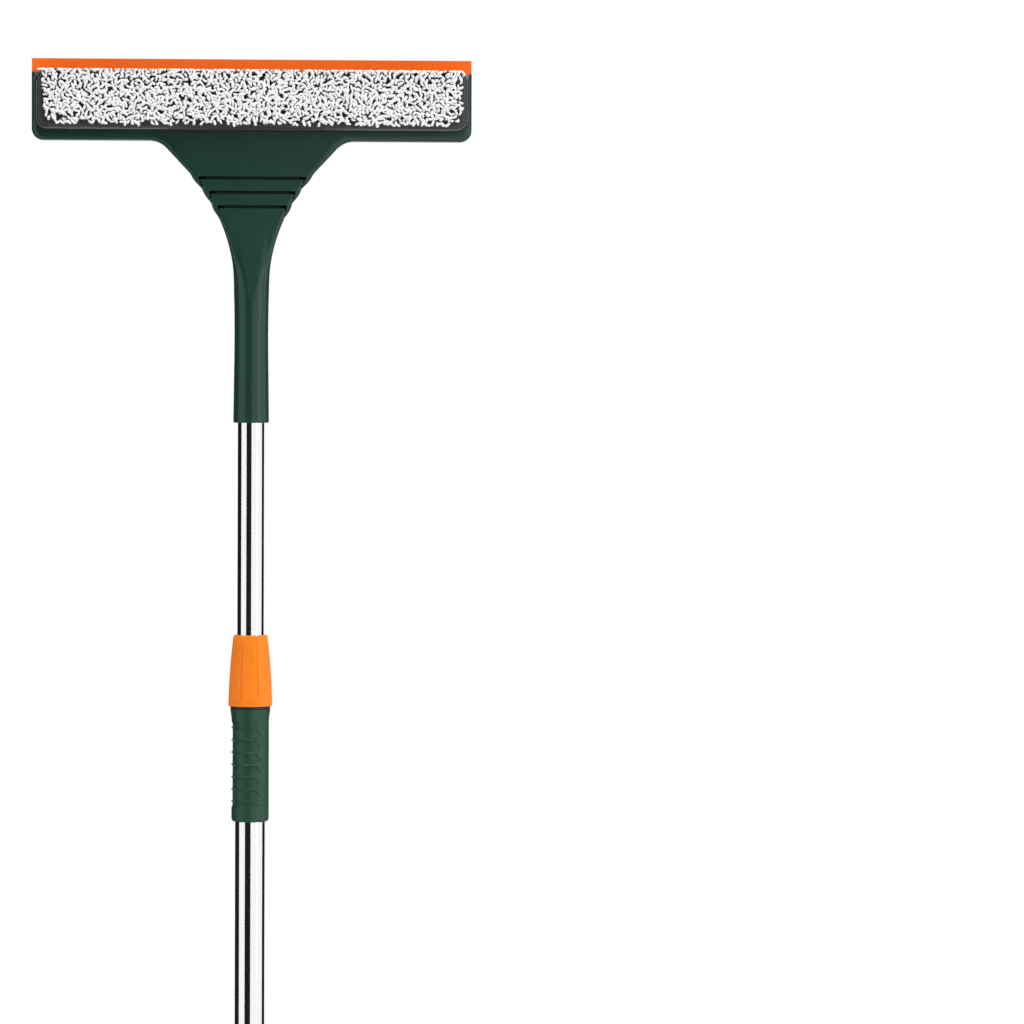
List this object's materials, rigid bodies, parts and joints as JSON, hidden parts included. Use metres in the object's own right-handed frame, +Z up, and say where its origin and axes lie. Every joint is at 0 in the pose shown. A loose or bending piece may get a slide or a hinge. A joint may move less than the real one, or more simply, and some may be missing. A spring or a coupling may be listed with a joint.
{
  "type": "window cleaning squeegee",
  "caption": "Telescopic T-shaped window cleaning squeegee with a rubber blade, a pile-faced wash pad, a twist-lock nut and a ribbed grip on a steel pole.",
  "frame": {"origin": "centre of the lower tube's bottom end, on the pole's axis, where the end cap's collar meets the tube", "axes": "+Z up the pole to the blade's edge, -Y the front, where the wash pad is, X along the blade"},
  "size_m": [0.26, 0.0425, 0.818],
  "materials": {
    "steel": "polished",
    "black_plastic": "matte",
    "white_plastic": "satin",
    "grey_plastic": "satin",
    "green_rubber": "satin",
    "green_plastic": "glossy",
    "orange_plastic": "glossy",
    "orange_rubber": "satin",
    "grey_aluminium": "satin",
    "black_cloth": "woven",
    "foam": "open-cell foam",
    "white_pile": "looped pile"
  },
  "bodies": {
    "lower_pole": {"lower_tube": "steel", "end_cap": "black_plastic", "cap_rivet": "steel", "grip_sleeve": "green_rubber", "collet": "black_plastic", "sleeve_rivet": "steel"},
    "clamp": {"clamp_ring": "white_plastic"},
    "nut": {"lock_nut": "orange_plastic"},
    "slider": {"guide_ring": "white_plastic"},
    "upper_pole": {"upper_tube": "steel", "guide_plug": "black_plastic", "plug_rivet": "steel", "tip_plug": "black_plastic", "tip_rivet": "steel", "head_body": "green_plastic", "head_back": "green_plastic", "back_screws": "steel", "blade_rail": "grey_aluminium", "blade": "orange_rubber", "rail_cap_left": "grey_plastic", "rail_cap_right": "grey_plastic", "hook_strips": "black_cloth"},
    "pad": {"pad_backing": "grey_plastic", "pad_sponge": "foam", "pad_cloth": "black_cloth", "pad_pile": "white_pile"}
  },
  "joints": [
    {"name": "upper_slide", "type": "slide", "parent": "lower_pole", "child": "slider", "axis": [0, 0, 1], "range_m": [-0.12, 0.18]},
    {"name": "upper_swivel", "type": "hinge", "parent": "slider", "child": "upper_pole", "pos_m": [0, 0, 0.16], "axis": [0, 0, 1], "continuous": true},
    {"name": "ring_travel", "type": "slide", "parent": "lower_pole", "child": "clamp", "axis": [0, 0, 1], "range_m": [0, 0.0023]},
    {"name": "nut_turn", "type": "hinge", "parent": "clamp", "child": "nut", "pos_m": [0, 0, 0.43], "axis": [0, 0, 1], "range_deg": [0, 270]},
    {"name": "pad_off", "type": "slide", "parent": "upper_pole", "child": "pad", "axis": [0, -1, 0], "range_m": [0, 0.04]}
  ],
  "couplings": [
    {"joint": "ring_travel", "follows": "nut_turn", "m_per_rad": 0.00047746}
  ]
}
